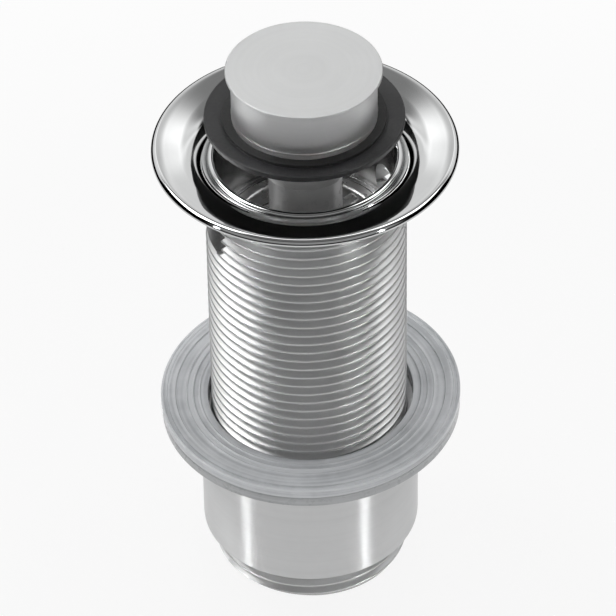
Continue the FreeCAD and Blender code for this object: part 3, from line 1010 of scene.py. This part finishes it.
def soft_panel_group():
    """Soft-edged lit panel in the studio surround, placed by azimuth and elevation in degrees."""
    labels = (
        "Azimuth", "Elevation", "Panel azimuth", "Panel elevation",
        "Half width", "Half height", "Softness", "Level",
    )
    group, start, end = new_group("soft_panel", [(label, 1.0) for label in labels], ("Light",))
    directions = (
        ("Azimuth", "Panel azimuth", "Half width"),
        ("Elevation", "Panel elevation", "Half height"),
    )
    shares = []
    for place, centre, half in directions:
        offset = math_node(group, "SUBTRACT", start.outputs[place], start.outputs[centre])
        offset = math_node(group, "ABSOLUTE", offset)
        inside = math_node(group, "SUBTRACT", start.outputs[half], offset)
        edge_start = math_node(group, "MULTIPLY", start.outputs["Softness"], -0.5)
        edge_end = math_node(group, "MULTIPLY", start.outputs["Softness"], 0.5)
        step = group.nodes.new("ShaderNodeMapRange")
        step.interpolation_type = "SMOOTHERSTEP"
        link(group, inside, step.inputs["Value"])
        link(group, edge_start, step.inputs["From Min"])
        link(group, edge_end, step.inputs["From Max"])
        shares.append(step.outputs[0])
    light = math_node(group, "MULTIPLY", math_node(group, "MULTIPLY", *shares), start.outputs["Level"])
    link(group, light, end.inputs[0])
    return group


def make_surround():
    """Dark studio walls with soft panels, for reflections. Azimuth 0 is behind the part, 180 in front."""
    bpy.ops.mesh.primitive_uv_sphere_add(
        segments=surround_turns, ring_count=surround_turns // 2, radius=surround_radius * MM)
    surround = bpy.context.active_object
    surround.name = "surround"
    surround.location = (0, 0, stage_middle * MM)
    surround.data.shade_smooth()
    surround.visible_camera = False
    surround.visible_diffuse = False
    surround.visible_shadow = False
    surround.visible_transmission = False
    material, tree, _ = new_material("surround")
    panel_group = soft_panel_group()
    place = tree.nodes.new("ShaderNodeTexCoord").outputs["Object"]
    split = tree.nodes.new("ShaderNodeSeparateXYZ")
    link(tree, place, split.inputs[0])
    degrees = 180 / math.pi
    azimuth = math_node(tree, "ARCTAN2", split.outputs[0], split.outputs[1])
    azimuth = math_node(tree, "MULTIPLY", azimuth, degrees)
    height = math_node(tree, "DIVIDE", split.outputs[2], surround_radius * MM)
    elevation = math_node(tree, "MULTIPLY", math_node(tree, "ARCSINE", height), degrees)
    total = None
    for numbers in soft_panels:
        panel = add_group(tree, panel_group)
        link(tree, azimuth, panel.inputs["Azimuth"])
        link(tree, elevation, panel.inputs["Elevation"])
        for socket, number in zip(panel.inputs[2:], numbers):
            socket.default_value = number
        total = panel.outputs[0] if total is None else math_node(tree, "ADD", total, panel.outputs[0])
    glow = tree.nodes.new("ShaderNodeEmission")
    link(tree, total, glow.inputs["Strength"])
    link(tree, glow.outputs[0], tree.nodes["Material Output"].inputs["Surface"])
    surround.data.materials.append(material)
    return surround


def add_lamp(name, azimuth, elevation, radiance):
    """Soft lamp that faces the part. The surround shows its panel in reflections."""
    lamp = bpy.data.lights.new(name, "AREA")
    lamp.shape = "SQUARE"
    lamp.size = lamp_size
    lamp.energy = radiance * math.pi * lamp_size * lamp_size
    holder = bpy.data.objects.new(name, lamp)
    turn = math.radians(azimuth)
    rise = math.radians(elevation)
    level = math.cos(rise)
    direction = Vector((math.sin(turn) * level, math.cos(turn) * level, math.sin(rise)))
    holder.location = Vector((0, 0, stage_middle * MM)) + direction * lamp_distance
    holder.rotation_euler = (-direction).to_track_quat("-Z", "Y").to_euler()
    holder.visible_glossy = False
    bpy.context.scene.collection.objects.link(holder)


def light_world():
    world = bpy.data.worlds.new("studio")
    world.use_nodes = True
    tree = world.node_tree
    background = tree.nodes["Background"]
    background.inputs["Color"].default_value = (1, 1, 1, 1)
    level = map_range(tree, seen_directly(tree), world_light, 1.0, 0.0, 1.0)
    link(tree, level, background.inputs["Strength"])
    bpy.context.scene.world = world


def place_camera():
    """Camera at the photograph's height, distance and slight tilt."""
    lens = bpy.data.cameras.new("camera")
    lens.lens = camera_lens
    lens.sensor_width = 36
    lens.clip_start = 0.05
    lens.shift_x, lens.shift_y = camera_shift
    camera = bpy.data.objects.new("camera", lens)
    place = Vector(camera_place)
    turn = (Vector(camera_aim) - place).to_track_quat("-Z", "Y").to_matrix().to_4x4()
    tilt = Matrix.Rotation(math.radians(camera_tilt), 4, "Z")
    camera.matrix_world = Matrix.Translation(place) @ turn @ tilt
    bpy.context.scene.collection.objects.link(camera)
    bpy.context.scene.camera = camera


light_world()
make_floor()
make_surround()
for lamp_values in lamps:
    add_lamp(*lamp_values)
place_camera()

bpy.context.scene.view_settings.view_transform = "Standard"
